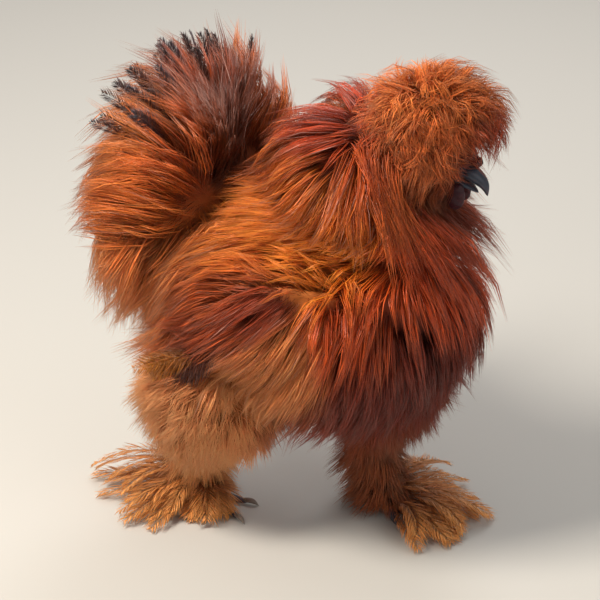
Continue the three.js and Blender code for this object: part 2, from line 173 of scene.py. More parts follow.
def plumage_material(name, roughness, sheen, tint):
    """Keratin strands: coloured by the markings with their painted shade and sheen, with a soft gloss and a
    paler sheen at the rim.
    """
    material, tree, shader = new_material(name)
    markings_and_painted_light = add_node(tree, "ShaderNodeAttribute", {"attribute_name": "plume"}).outputs["Color"]
    limits = {"Value": grain(tree, SPECKLE_MM), "To Min": 1 - SPECKLE, "To Max": 1 + SPECKLE}
    speckle = add_node(tree, "ShaderNodeMapRange", inputs=limits)
    shade = add_node(tree, "ShaderNodeMix", {"data_type": "RGBA", "blend_type": "MULTIPLY"}, {"Factor": 1.0})
    tree.links.new(markings_and_painted_light, shade.inputs["A"])
    tree.links.new(speckle.outputs["Result"], shade.inputs["B"])
    tree.links.new(shade.outputs["Result"], shader.inputs["Base Color"])
    shader.inputs["IOR"].default_value = 1.55
    shader.inputs["Roughness"].default_value = roughness
    shader.inputs["Sheen Weight"].default_value = sheen
    shader.inputs["Sheen Roughness"].default_value = 0.4
    shader.inputs["Sheen Tint"].default_value = linear(tint)
    return material


SILK = plumage_material("silky plumage", 0.4, 0.06, "#FFD9C8")  # long barbs that mirror light in streaks
DOWN = plumage_material("down", 0.75, 0.15, "#FFE2C0")  # short barbs that scatter it and look matt

# %% [markdown]
# ## Bare skin and horn
# Skin without feathers is patchy and finely pored, and light goes a little way into it. Beak and
# claws are harder and smoother. One recipe makes them all, with other colours, gloss and pores.


# %% Skin and horn materials
def flesh_material(name, base, patch, roughness, pore_mm, depth_mm):
    """Bare skin: patchy, pored and a little moist, IOR 1.4."""
    material, tree, shader = new_material(name)
    mix = add_node(tree, "ShaderNodeMix", {"data_type": "RGBA"}, {"Factor": grain(tree, 5)})
    mix.inputs["A"].default_value = linear(base)
    mix.inputs["B"].default_value = linear(patch)
    tree.links.new(mix.outputs["Result"], shader.inputs["Base Color"])
    shader.inputs["IOR"].default_value = 1.4
    shader.inputs["Roughness"].default_value = roughness
    shader.inputs["Subsurface Weight"].default_value = 0.08
    bump(tree, shader, grain(tree, pore_mm), depth_mm)
    return material


COMB_SKIN = flesh_material("comb skin", "#2A1118", "#421C26", 0.45, 1.2, 0.5)  # mulberry, coarse pores
LOBE_SKIN = flesh_material("earlobe skin", "#2A6F78", "#4E9AA0", 0.5, 1.0, 0.3)  # turquoise, soft
FACE_SKIN = flesh_material("face skin", "#2E1C26", "#43303A", 0.55, 0.9, 0.3)  # dark and dull
LEG_SKIN = flesh_material("leg scales", "#3B3A42", "#57525A", 0.48, 0.8, 0.25)  # slate, a dry gloss
HORN = flesh_material("beak horn", "#272D3A", "#454C59", 0.3, 2.5, 0.1)  # slate, polished by use
CLAW = flesh_material("claw horn", "#6B625C", "#8C8074", 0.35, 1.5, 0.1)  # paler horn, scuffed
EYE = flesh_material("eye", "#0C0806", "#1A0F0A", 0.04, 4, 0.01)  # near black and wet, a sharp gleam

# %% [markdown]
# ## Floor
# The floor is matt backdrop paper in a pale grey, one large plane that takes the bird's shadow.


# %% Floor
def paper_material():
    material, tree, shader = new_material("pale backdrop paper")
    shader.inputs["Base Color"].default_value = linear("#C4C1BC")
    shader.inputs["Roughness"].default_value = 0.9
    return material


bpy.ops.mesh.primitive_plane_add(size=12)
floor = bpy.context.object
floor.name = "floor"
floor.data.materials.append(paper_material())
print("materials", [material.name for material in bpy.data.materials])

# %% [markdown]
# ## The body's forms
# Every part of the flesh is a swollen tube along a bent line: a torso like an egg, a short neck,
# a skull. The same few sizes give the skin, the places where strands root, and the way they lie.
# They could be metaballs, but then no point on them would have a place along and round the limb.
# They are worked out on whole arrays at once, as there are tens of thousands of strands.


# %% Points on a form
def along(values, t):
    """Reads a short list as a smooth curve, with t from 0 to 1."""
    values = np.asarray(values, float)
    last = len(values) - 1
    s = np.clip(t, 0, 1) * last
    i = np.minimum(s.astype(int), last - 1)
    f = (s - i)[:, None] if values.ndim == 2 else s - i
    padded = np.concatenate([[2 * values[0] - values[1]], values, [2 * values[-1] - values[-2]]])
    a, b, c, d = (padded[i + k] for k in range(4))
    return b + 0.5 * f * (c - a + f * (2 * a - 5 * b + 4 * c - d + f * (3 * (b - c) + d - a)))


def unit(v):
    return v / np.maximum(np.linalg.norm(v, axis=-1, keepdims=True), 1e-9)


def form_points(form, u, v, grow=0.0):
    """Points on a form, u along it from 0 to 1 and v round it in degrees, from the left over the top."""
    step = 0.001
    blunt = 2.2  # 2 gives round ends, and more gives fuller ones
    low = np.clip(u - step, 0, 1 - 2 * step)
    tangent = unit(along(form["line"], low + 2 * step) - along(form["line"], low))
    side = unit(np.cross(np.array(form.get("up", (0, 0, 1)), float), tangent))
    top = np.cross(tangent, side)
    cap = np.maximum(1 - np.abs(2 * u - 1) ** blunt, 0) ** (1 / blunt)
    across = (along(form["wide"], u) + grow) * cap * np.cos(np.radians(v))
    rise = (along(form.get("high", form["wide"]), u) + grow) * cap * np.sin(np.radians(v))
    lengthwise = np.asarray(grow * (2 * u - 1))
    return (
        along(form["line"], u)
        + tangent * lengthwise[:, None]
        + side * across[:, None]
        + top * rise[:, None]
    )


def mirrored(form):
    return {**form, "line": [(x, -y, z) for x, y, z in form["line"]]}


# %% [markdown]
# ## Sizes
# All sizes are millimetres on the bird, with x to the bill, y to its left and z up. Head and tail
# have their own origin, so that each can be turned as one.

# %% Sizes
TORSO = {
    "line": [(-88, 0, 178), (-45, 0, 164), (0, 0, 162), (47, 0, 180), (88, 0, 212)],
    "wide": [44, 60, 64, 60, 46],
    "high": [38, 52, 60, 56, 42],
}
NECK = {"line": [(-2, 0, 226), (38, 0, 262), (78, 0, 298)], "wide": [64, 64, 50], "high": [54, 62, 56]}
SKULL = {
    "line": [(-14, 0, -4), (2, 0, 3), (18, 0, 0), (30, 0, -8)],
    "wide": [16, 18, 14, 8],
    "high": [16, 19, 14, 8],
}
CREST = {"line": [(-27, 0, 26), (12, 0, 30), (50, 0, 20)], "wide": [40, 42, 38], "high": [42, 44, 42]}
TAIL = {
    "line": [(0, 0, -66), (-14, 0, 2), (-10, 0, 67), (6, 0, 142)],
    "wide": [70, 92, 92, 74],
    "high": [48, 68, 70, 60],
    "up": (1, 0, 0),
}
WING = {
    "line": [(58, -66, 200), (15, -78, 180), (-25, -80, 160), (-52, -79, 144)],
    "wide": [8, 10, 8, 4],
    "high": [18, 28, 22, 8],
}
RIGHT_THIGH = {
    "line": [(-22, -42, 150), (-56, -40, 93), (-82, -26, 36)],
    "wide": [55, 57, 38],
    "up": (1, 0, 0),
}
LEFT_THIGH = {
    "line": [(28, 42, 150), (32, 42, 93), (37, 33, 36)],
    "wide": [55, 54, 36],
    "up": (1, 0, 0),
}
RIGHT_FOOT, LEFT_FOOT = (-78, -17), (39, 32)
RIGHT_HOCK, LEFT_HOCK = (-84, -22, 62), (22, 34, 64)
HEAD_AT, HEAD_TURN = (81, -1, 281), 10
TAIL_AT, TAIL_TURN = (-78, 4, 188), -10
EYE_MIDDLE, EYE_RADIUS = (15.5, -14.2, 3), 4
TAIL_MIDDLE, TAIL_RADII = np.array([-14.0, 0, 38]), np.array([73.0, 92, 103])
BOWL = unit(np.array([0.66, 0, 0.75]))  # the way the tail's hollow opens, to the front and up
BOWL_EDGE, BOWL_DEPTH = 0.62, 0.45
COVERT_DEPTH = 7  # how far a folded wing is set into the body

# %% [markdown]
# ## From a part's own place to the model
# A parent object could carry each turn, but a finished piece has to sit at the origin with its place
# in its mesh. So the points themselves are turned and moved.


# %% Places
def turn_matrix(degrees):
    return np.array(Matrix.Rotation(math.radians(degrees), 3, "Z"))


def on_head(points):
    return np.asarray(points, float) @ turn_matrix(HEAD_TURN).T + HEAD_AT


def on_tail(points):
    return np.asarray(points, float) @ turn_matrix(TAIL_TURN).T + TAIL_AT


def as_is(points):
    return np.asarray(points, float)


def tail_place(points):
    """On the tail, with the hollow of its fan pressed in."""
    points = np.asarray(points, float)
    way = unit((points - TAIL_MIDDLE) / TAIL_RADII)
    inside = np.clip((way @ BOWL - BOWL_EDGE) / (1 - BOWL_EDGE), 0, 1)[:, None]
    dent = BOWL_DEPTH * inside**2 * (3 - 2 * inside)
    return on_tail(TAIL_MIDDLE + (points - TAIL_MIDDLE) * (1 - dent))


def wing_place(points):
    """A folded wing, set into the body by the depth of its coverts."""
    points = np.array(points, float)
    points[:, 1] -= np.sign(points[:, 1]) * COVERT_DEPTH
    return points


# The solids' origin is under the middle of their box, and the eye shows how far that moved them.
eye_low, eye_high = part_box("eye_right")
ORIGIN = np.array([(a + b) / 2 for a, b in zip(eye_low, eye_high)]) / MM - on_head([EYE_MIDDLE])[0]
ORIGIN[2] = 0
print("forms are shifted by", ORIGIN.round(2), "mm")


def to_model(points):
    """Millimetres on the bird to metres in the shared frame."""
    return (np.asarray(points, float) + ORIGIN) * MM


def to_bird(points):
    return np.asarray(points, float) / MM - ORIGIN


# %% [markdown]
# ## Lofts
# A loft lays rings over a form and closes both ends in a point. Each piece of flesh and horn is one
# or more of these, joined in one mesh, and modifiers that finish it are applied at once.


# %% Lofts
def loft(form, grow=0.0, steps=24, sides=32, place=as_is, ripple=None):
    """A closed surface over a form, as points in millimetres and faces."""
    u = (1 - np.cos(np.pi * np.arange(1, steps) / steps)) / 2
    v = 360 * np.arange(sides) / sides
    uu, vv = np.repeat(u, sides), np.tile(v, steps - 1)
    swell = grow if ripple is None else grow + ripple(uu, vv)
    ring = form_points(form, uu, vv, swell)
    ends = form_points(form, np.array([0.0, 1.0]), np.array([0.0, 0.0]), grow)
    points = np.concatenate([ends[:1], ring, ends[1:]])
    last = len(points) - 1
    at = lambda i, j: 1 + i * sides + j % sides
    faces = []
    for j in range(sides):
        faces.append((0, at(0, j + 1), at(0, j)))
        faces.append((last, at(steps - 2, j), at(steps - 2, j + 1)))
        faces += [(at(i, j), at(i, j + 1), at(i + 1, j + 1), at(i + 1, j)) for i in range(steps - 2)]
    return place(points), faces


def mesh_object(name, points, faces, material):
    """A piece at the origin, from points in metres."""
    mesh = bpy.data.meshes.new(name)
    mesh.from_pydata([tuple(p) for p in points], [], faces)
    mesh.materials.append(material)
    mesh.polygons.foreach_set("use_smooth", [True] * len(mesh.polygons))
    mesh.update()
    obj = bpy.data.objects.new(name, mesh)
    bpy.context.collection.objects.link(obj)
    return obj


def joined(lofts):
    points, faces, count = [], [], 0
    for p, f in lofts:
        points.append(p)
        faces += [tuple(i + count for i in face) for face in f]
        count += len(p)
    return np.concatenate(points), faces


def settle(obj, *modifiers):
    """Applies modifiers, given as kind and settings, and leaves a plain mesh."""
    for kind, settings in modifiers:
        modifier = obj.modifiers.new(kind.lower(), kind)
        for key, value in settings.items():
            setattr(modifier, key, value)
    depsgraph = bpy.context.evaluated_depsgraph_get()
    mesh = bpy.data.meshes.new_from_object(obj.evaluated_get(depsgraph))
    obj.modifiers.clear()
    old = obj.data
    mesh.name = old.name
    obj.data = mesh
    bpy.data.meshes.remove(old)
    return obj


# %% [markdown]
# ## One skin
# The flesh under the plumage is one piece on the real bird, so no seam may show where the neck
# meets the body. Booleans would leave sharp creases. The lofts are laid into one another instead, a
# voxel remesh fuses them, and smoothing rounds the joins.

# %% Skin
SKIN_VOXEL = 3  # mm
# Each form with how much it grows, less than nothing where its coat is deep, and its place.
SKIN_FORMS = {
    "torso": (TORSO, 5, as_is),
    "neck": (NECK, -26, as_is),
    "head": (SKULL, 0, on_head),
    "crest": (CREST, -27, on_head),
    "tail": (TAIL, -40, tail_place),
    "wing_right": (WING, -4, wing_place),
    "wing_left": (mirrored(WING), -4, wing_place),
    "leg_right": (RIGHT_THIGH, -22, as_is),
    "leg_left": (LEFT_THIGH, -22, as_is),
}
points, faces = joined([loft(form, grow, place=place) for form, grow, place in SKIN_FORMS.values()])
skin = mesh_object("skin", to_model(points), faces, DOWN)
settle(
    skin,
    ("REMESH", {"mode": "VOXEL", "voxel_size": SKIN_VOXEL * MM, "use_smooth_shade": True}),
    ("SMOOTH", {"factor": 0.5, "iterations": 3}),
)
skin_tree = BVHTree.FromPolygons(
    [v.co for v in skin.data.vertices], [tuple(p.vertices) for p in skin.data.polygons]
)
print("skin has", len(skin.data.polygons), "faces")

# %% [markdown]
# ## Markings and painted shade
# A red silkie isn't one colour. Its hackle and breast are mahogany, the shoulder and the saddle
# golden orange, the thighs and the underside of the tail pale tan, and the tail's tips slate. They
# could be painted by hand, but a list can be read and changed. Each zone is a named place on the
# bird, its reach and its colour, and a point takes a blend of the zones nearby.
# Some zones are painted shade, not the bird's colour. The throat under the bill, the tail's hollow and the
# far leg are darkened, and the keel and belly are its mahogany darkened further.

# %% Markings
ZONES = {
    "crest top": ((92, 0, 338), 36, "#A8561C"),
    "crest back": ((58, -20, 326), 30, "#B9662A"),
    "crest side": ((98, -44, 306), 26, "#A8521E"),
    "crest front": ((136, 0, 296), 26, "#7A260C"),
    "cheek": ((88, -26, 262), 16, "#A04E1E"),
    # painted shade: the throat under the bill and wattles is near black, as their shadow
    "throat": ((114, -6, 246), 22, "#2E120A"),
    "hackle": ((34, -24, 304), 34, "#963216"),
    "hackle side": ((40, -62, 262), 30, "#A04415"),
    "shoulder": ((44, -76, 230), 30, "#D0761C"),
    "saddle": ((-20, -50, 232), 40, "#CE7428"),
    "saddle middle": ((-20, 0, 244), 40, "#A84E18"),
    "breast": ((122, -20, 220), 40, "#A03C14"),
    "breast side": ((84, -74, 190), 34, "#A84212"),
    # painted shade: the keel and the belly are the breast's mahogany darkened further, as the underside lies
    # in the body's shadow
    "keel": ((84, -30, 120), 44, "#5E1A0A"),
    "belly": ((16, -40, 92), 40, "#74220C"),
    "flank": ((-10, -90, 188), 30, "#882C0E"),
    "flank fluff": ((16, -92, 142), 24, "#E49050"),
    "flank back": ((-40, -92, 186), 30, "#A84E1C"),
    "wing": ((-50, -90, 150), 28, "#8A3212"),
    "rump": ((-96, -50, 160), 36, "#B05E24"),
    "tail near": ((-100, -80, 226), 40, "#BC6424"),
    "tail root": ((-76, -44, 258), 28, "#A04C1E"),
    # painted shade: the hollow between saddle and tail is darkened where the tail's shadow falls
    "tail hollow shade": ((-50, 0, 270), 34, "#3A1208"),
    "tail back": ((-160, 0, 200), 44, "#C87C3C"),
    "tail under": ((-132, -44, 146), 36, "#EEA468"),
    "tail top": ((-100, 0, 330), 34, "#7A3010"),
    "tail crown": ((-112, -26, 314), 24, "#40241C"),
    "tail shoulder": ((-140, -40, 276), 36, "#AE642C"),
    "thigh": ((-52, -70, 90), 40, "#F0A468"),
    "thigh front": ((-12, -76, 114), 32, "#E89A5C"),
    # painted shade: the far thigh is darkened where the body shades it
    "far thigh shade": ((56, -60, 80), 26, "#6E2A10"),
    "hock": ((-84, -30, 40), 34, "#E89A58"),
    # painted shade: the far hock is darkened where the body shades it
    "far hock shade": ((44, -20, 34), 30, "#7A3A16"),
}
FALL = 1.6  # how fast a zone fades past its reach
BRIGHTEN = 1.55  # strands shade one another, so each is paler than the coat looks
UNDER_COAT = 0.55  # the skin is darker, as it lies in the strands' shade


def markings_and_painted_light(points):
    """Linear colours of the plumage at points in millimetres, with painted shade in some zones. Both sides
    of the bird are alike.
    """
    folded = np.array(points, float)
    folded[:, 1] = -np.abs(folded[:, 1])
    total = np.zeros((len(folded), 3))
    weights = np.full((len(folded), 1), 1e-12)
    for place, reach, colour in ZONES.values():
        far = np.linalg.norm(folded - place, axis=1) / reach
        weight = np.exp(-FALL * far**2)[:, None] + 1e-9
        total += weight * np.array(linear(colour)[:3])
        weights += weight
    return total / weights * BRIGHTEN


def paint(mesh, colours):
    layer = mesh.color_attributes.new("plume", "FLOAT_COLOR", "POINT")
    rgba = np.ones((len(mesh.vertices), 4), np.float32)
    rgba[:, :3] = colours
    layer.data.foreach_set("color", rgba.ravel())


skin_points = np.empty(len(skin.data.vertices) * 3)
skin.data.vertices.foreach_get("co", skin_points)
paint(skin.data, markings_and_painted_light(to_bird(skin_points.reshape(-1, 3))) * UNDER_COAT)
print("markings from", len(ZONES), "zones")

# %% [markdown]
# ## Strands
# A silkie's feather is a thin shaft with loose barbs, so it reads as a lock of strands that draw
# together at the tip. Hair curves would be lost in the export, so each strand is a closed spindle
# with three sides, and all strands of a coat piece are one mesh built from arrays. A guide line is
# traced over the skin for each feather, and its strands are laid about that line.
#
# Each strand also needs a place in the map that colours are baked to. Its own unwrap would be too
# thin to catch a pixel, so it gets a small patch at its root's place on the unwrap of the skin.

# %% Baking map
rng = np.random.default_rng(11)
TILE_COLUMNS, TILE_ROWS = 5, 4
TILES = {}
PATCH = 0.003  # side of a strand's patch


def bake_place(region, u, v):
    """Where a root lies on the unwrap of the skin: one tile for each form, u across and v up."""
    tile = TILES.setdefault(region, len(TILES))
    column, row = tile % TILE_COLUMNS, tile // TILE_COLUMNS
    inside = np.stack([0.02 + 0.96 * np.clip(u, 0, 1), 0.02 + 0.96 * (np.asarray(v) % 360) / 360], axis=1)
    return (inside + [column, row]) / [TILE_COLUMNS, TILE_ROWS]


# %% [markdown]
# ## The mesh of a coat piece
# A ring of three corners stands at each point of a strand but the first and the last, where the
# strand is a point. All strands of a piece have as many points, so one pattern of faces, shifted
# for each strand, makes the mesh. Its corners run the way that turns each face outwards.

# %% Strand mesh
POINTS_PER_STRAND = 4
FLATNESS = 0.45  # a strand's thickness as a share of its width
TAPER_AT, TAPER = [0, 0.33, 0.5, 0.67, 1], [0, 1, 0.95, 0.8, 0]
CORNERS = [(1, -0.3), (-1, -0.3), (0, 0.8)]  # of a ring: across the strand, and through it
ROLL = 0.35  # how much strands are turned about their length, at random
FLOOR_CLEARANCE = 0.2
coat_sizes = []


def strand_piece(name, paths, widths, colours, places, material):
    """One mesh of closed strands. paths: strands x points x 3, in millimetres."""
    count, steps = paths.shape[:2]
    tangent = unit(np.gradient(paths, axis=1))
    across = unit(np.cross(tangent, rng.normal(size=(count, 1, 3)) * ROLL + [0, 0, 1.0]))
    lift = np.cross(tangent, across)
    half = widths[:, None] * np.interp(np.linspace(0, 1, steps), TAPER_AT, TAPER)[None, :] / 2
    sides = [
        paths + across * (a * half)[..., None] + lift * (b * FLATNESS * half)[..., None] for a, b in CORNERS
    ]
    rings = np.stack(sides, axis=2)[:, 1:-1]
    verts = np.concatenate([paths[:, :1], rings.reshape(count, -1, 3), paths[:, -1:]], axis=1)
    verts[..., 2] = np.maximum(verts[..., 2], FLOOR_CLEARANCE)
    per = verts.shape[1]
    ring = lambda i, j: 1 + 3 * i + j % 3
    last = steps - 3
    tris = [(0, ring(0, j), ring(0, j + 1)) for j in range(3)]
    tris += [(ring(last, j + 1), ring(last, j), per - 1) for j in range(3)]
    quads = []
    for i in range(last):
        quads += [(ring(i, j), ring(i + 1, j), ring(i + 1, j + 1), ring(i, j + 1)) for j in range(3)]
    base = (np.arange(count) * per)[:, None]
    quad_loops = (base + np.array(quads, int).reshape(1, -1)).ravel()
    tri_loops = (base + np.array(tris).reshape(1, -1)).ravel()
    loops = np.concatenate([quad_loops, tri_loops])
    sizes = np.concatenate([np.full(count * len(quads), 4), np.full(count * len(tris), 3)])
    starts = np.concatenate([[0], np.cumsum(sizes)[:-1]])
    mesh = bpy.data.meshes.new(name)
    mesh.vertices.add(count * per)
    mesh.vertices.foreach_set("co", to_model(verts.reshape(-1, 3)).ravel())
    mesh.loops.add(len(loops))
    mesh.loops.foreach_set("vertex_index", loops.astype(np.int32))
    mesh.polygons.add(len(sizes))
    mesh.polygons.foreach_set("loop_start", starts.astype(np.int32))
    mesh.polygons.foreach_set("use_smooth", np.ones(len(sizes), bool))
    mesh.update(calc_edges=True)
    of_vertex = np.concatenate([[0], np.repeat(np.arange(1, steps - 1), 3), [steps - 1]])
    paint(mesh, colours[:, of_vertex].reshape(-1, 3))
    corner = np.concatenate([[0.5], np.tile([0, 1, 0.5], steps - 2), [0.5]])
    spot = (np.stack([corner, of_vertex / (steps - 1)], axis=1) - 0.5) * PATCH
    uv = (places[:, None, :] + spot[None]).reshape(-1, 2)
    mesh.uv_layers.new(name="OFBake").data.foreach_set("uv", uv[loops].astype(np.float32).ravel())
    mesh.materials.append(material)
    obj = bpy.data.objects.new(name, mesh)
    bpy.context.collection.objects.link(obj)
    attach(obj, "root")
    triangles = count * (2 * len(quads) + len(tris))
    coat_sizes.append(triangles)
    print(name, count, "strands,", triangles, "triangles")


# %% [markdown]
# ## Locks
# The strands of one feather start apart and draw together at the tip. Each is a copy of the guide
# line, moved off it by a random way and cut a little shorter.

# %% Locks
SHORTER = 0.25  # the most that a strand falls short of its guide, as a share


def clump(guides, strands, spread, gather, wave):
    """Strands about each guide line: spread out at the root, gathered by the tip."""
    count, steps = guides.shape[:2]
    t = np.linspace(0, 1, steps)
    tangent = unit(np.gradient(guides, axis=1))
    a = unit(np.cross(tangent, [0.0, 0.0, 1.0]))
    b = np.cross(tangent, a)
    angle = rng.uniform(0, 2 * np.pi, (count, strands, 1))
    radius = spread * np.sqrt(rng.uniform(0, 1, (count, strands, 1)))
    open_by = 1 - (1 - gather) * t**1.3
    wobble = wave * rng.normal(size=(count, strands, steps)) * t
    dx = radius * np.cos(angle) * open_by + wobble
    dy = radius * np.sin(angle) * open_by * 0.6 + wobble[..., ::-1] * 0.7
    shorten = 1 - SHORTER * rng.uniform(0, 1, (count, strands, 1))
    index = np.clip(t * (steps - 1) * shorten, 0, steps - 1.001)
    low = index.astype(int)
    frac = (index - low)[..., None]
    row = np.arange(count)[:, None, None]
    line = guides[row, low] * (1 - frac) + guides[row, low + 1] * frac
    paths = line + a[row, low] * dx[..., None] + b[row, low] * dy[..., None]
    return paths.reshape(-1, steps, 3)


# %% [markdown]
# ## Roots
# Roots are spread over a form by area and then moved on to the fused skin. Where two forms overlap,
# the buried part of each is left bare, as its roots are too far from the skin that shows.

# %% Roots
ROOT_REACH = 6  # a root this far from the fused skin is moved on to it, and one farther off is dropped


def scatter(form, grow, place, count, u_range=(0.02, 0.98), v_range=(0, 360)):
    """Places, normals, u and v of roots on the skin that shows."""
    many = count * 6  # more than are kept, as some are dropped
    # An angle from end to end, as equal steps of u would leave the rounded ends bare.
    turn = rng.uniform(*np.arccos(1 - 2 * np.array(u_range, float)), many)
    u = (1 - np.cos(turn)) / 2
    v = rng.uniform(*v_range, many)
    here = form_points(form, u, v, grow)
    ahead = (1 - np.cos(turn + np.where(turn < np.pi / 2, 0.01, -0.01))) / 2
    lengthwise = form_points(form, ahead, v, grow) - here
    crosswise = form_points(form, u, v + 1, grow) - here
    area = np.linalg.norm(np.cross(lengthwise, crosswise), axis=1)
    keep = rng.uniform(0, 1, many) < area / np.quantile(area, 0.98)
    here, u, v = place(here[keep]), u[keep], v[keep]
    picked, normals, index = [], [], []
    for i, p in enumerate(to_model(here)):
        near, normal, _, far = skin_tree.find_nearest(Vector(p))
        if far < ROOT_REACH * MM:
            picked.append(near)
            normals.append(normal)
            index.append(i)
            if len(picked) == count:
                break
    return to_bird(np.array(picked)), np.array(normals), u[index], v[index]


# %% [markdown]
# ## Guide lines
# A feather leaves the skin at a slant and then lies along it. A straight line would cut through the
# next bulge, so each guide is walked step by step: it follows the way of the lie, looks up the skin
# below, and steers to the height it should have by then.

# %% Guide lines
ROOT_DEPTH = 1.5  # how deep in the skin a strand starts
SUBSTEPS = 2  # steps walked for each point that is kept


def trace(roots, normals, lengths, depths, flow, steps, rise):
    """Guide lines over the skin: each follows the flow and rises to its depth by the tip."""
    place = roots - normals * ROOT_DEPTH
    line = [place]
    normal = normals
    height = np.zeros(len(roots)) - ROOT_DEPTH
    walked = (steps - 1) * SUBSTEPS
    step = lengths / walked
    for k in range(walked):
        t = (k + 1) / walked
        lie = flow(place, normal)
        lie = lie - normal * np.sum(lie * normal, axis=1, keepdims=True) * 0.85
        climb = np.clip((depths * t**rise - height) / step, -0.9, 1.6)
        place = place + unit(unit(lie) + normal * (0.9 * climb)[:, None]) * step[:, None]
        found = [skin_tree.find_nearest(Vector(p)) for p in to_model(place)]
        ground = to_bird(np.array([f[0] for f in found]))
        normal = np.array([f[1] for f in found])
        height = np.sum((place - ground) * normal, axis=1)
        if (k + 1) % SUBSTEPS == 0:
            line.append(place)
    return np.stack(line, axis=1)


# %% [markdown]
# ## Colours and sizes of strands
# No two feathers are alike. Some of that comes from smooth noise over the body, which makes patches
# of longer and shorter plumage, and some is different for each lock and each strand.


# %% Colours and sizes of strands
def noise_field(points, size, seed):
    """A smooth random value for each point, with blobs of about size millimetres."""
    waves = np.random.default_rng(seed)
    total = np.zeros(len(points))
    for _ in range(10):
        way = waves.normal(size=3) / size
        total += np.sin(points @ way * 2.2 + waves.uniform(0, 6.28))
    return total / 3.2


PALEST = 0.9  # no strand reflects more than this, and its hue is kept
# painted shade and light: strands are darker at the root, deep in the coat's shade, and paler at the tip,
# where light falls
ROOT_PAINTED_SHADE, TIP_PAINTED_LIGHT = 0.55, 1.25
# painted sheen: a few strands fade to this pale pink as streaks of gloss
SHEEN_STREAK = "#D9B3A6"


def plumage_colours(paths, per_strand=0.18, per_lock=None, glint=0.0):
    """Colours along strands: the markings midway, with painted shade below, deep in the coat, and painted
    light at the tip.

    glint is the share of strands whose outer half is painted pale pink as a streak of sheen, as on the
    hackle."""
    count, steps = paths.shape[:2]
    base = markings_and_painted_light(paths[:, steps // 2])
    vary = 1 + per_strand * rng.normal(size=(count, 1))
    if per_lock is not None:
        vary = vary * per_lock[:, None]
    painted_shade_and_light = np.interp(np.linspace(0, 1, steps), [0, 0.4, 1], [ROOT_PAINTED_SHADE, 1, TIP_PAINTED_LIGHT])
    colour = base[:, None, :] * np.clip(vary, 0.45, 1.9)[:, :, None] * painted_shade_and_light[None, :, None]
    warm = 0.1 * rng.normal(size=(count, 1, 1)) * np.array([0.2, 1, 1.2])
    colour = np.maximum(colour * (1 + warm), 0.002)
    colour = colour * np.minimum(1, PALEST / colour.max(axis=2, keepdims=True))
    # painted sheen streaks: the outer half of a share of strands turns pale pink
    sheen_streak = (rng.uniform(size=(count, 1, 1)) < glint) * np.linspace(0, 0.75, steps)[None, :, None]
    return colour * (1 - sheen_streak) + np.array(linear(SHEEN_STREAK)[:3]) * sheen_streak


# %% [markdown]
# ## A coat piece
# One function goes from roots to mesh, so every part of the coat is one call that says where it
# grows, how long and deep it is, which way it lies, and how loosely its strands gather.


# %% A coat piece
def coat(name, slot, region, form, grow, place, count, strands, length, depth, flow, spread, gather,
         width=0.8, material=SILK, keep=None, steps=POINTS_PER_STRAND, vary=0.18, fuzz=0.12, glint=0.0,
         rise=0.8, **ranges):
    """length and depth are numbers or rules by place. fuzz turns feathers off the lie at random."""
    roots, normals, u, v = scatter(form, grow, place, count, **ranges)
    if keep is not None:
        chosen = keep(roots, normals)
        roots, normals, u, v = roots[chosen], normals[chosen], u[chosen], v[chosen]
    size = 1 + 0.16 * noise_field(roots, 14, 5) + 0.12 * rng.normal(size=len(roots))
    size = np.clip(size, 0.55, 1.45)
    lengths = (length(roots) if callable(length) else length) * size
    depths = (depth(roots) if callable(depth) else depth) * np.clip(size, 0.7, 1.2)
    jitter = rng.normal(size=(len(roots), 3)) * fuzz
    guides = trace(roots, normals, lengths, depths, lambda p, n: flow(p, n) + jitter, steps, rise)
    paths = clump(guides, strands, spread, gather, wave=0.5)
    lock = np.repeat(1 + vary * rng.normal(size=len(guides)), strands)
    places = np.repeat(bake_place(region, u, v), strands, axis=0)
    widths = width * rng.uniform(0.7, 1.3, len(paths))
    colours = plumage_colours(paths, per_lock=lock, per_strand=vary, glint=glint)
    strand_piece(name, paths, widths, colours, places, material)


# %% [markdown]
# ## Body plumage
# On the back the feathers lie to the tail, on the breast they hang, and on the belly they sweep
# back. It could be combed by hand, but one rule gives it from the way the skin faces. The belly is
# down: shorter, looser and matt.


# %% Body coat
def ramp(value, low, high):
    """0 below low, 1 above high, and smooth between."""
    t = np.clip((value - low) / (high - low), 0, 1)
    return t * t * (3 - 2 * t)


def body_flow(points, normals):
    front = np.maximum(0.8 * np.clip(normals[:, :1], 0, 1), ramp(points[:, :1], 62, 104))
    side = np.clip(np.abs(normals[:, 1:2]), 0, 1)
    top = np.clip(normals[:, 2:3], 0, 1) * (1 - ramp(points[:, :1], 62, 104))
    back = np.array([[-1.0, 0, 0]]) * (1 - 1.3 * front)
    down = np.array([[0, 0, -1.0]]) * (0.25 + 0.9 * front + 1.0 * side) * (1 - 0.5 * top)
    out = np.sign(points[:, 1:2]) * np.array([[0, 1.0, 0]]) * 0.55 * top
    return back + down + out


def breast_depth(points):
    return 32 - 12 * ramp(points[:, 2], 215, 245)


TORSO_SKIN = ("torso", TORSO, 5, as_is)
coat("breast_plumage", "body", *TORSO_SKIN, 1060, 11, 56, breast_depth, body_flow, 6, 0.25,
     u_range=(0.6, 1), width=0.7)
coat("back_plumage", "body", *TORSO_SKIN, 1100, 11, 62, 26, body_flow, 6, 0.25,
     u_range=(0.03, 0.66), v_range=(-20, 200), width=0.7, glint=0.03)
coat("belly_plumage", "body", *TORSO_SKIN, 800, 10, 40, 24, body_flow, 7, 0.4, steps=3,
     u_range=(0.03, 0.66), v_range=(190, 350), material=DOWN)

# %% [markdown]
# ## Hackle and bib
# The hackle is a cape of long, narrow feathers that falls from the neck over the shoulders. The bib
# below the throat hangs straight down and hides the skin between hackle and breast.


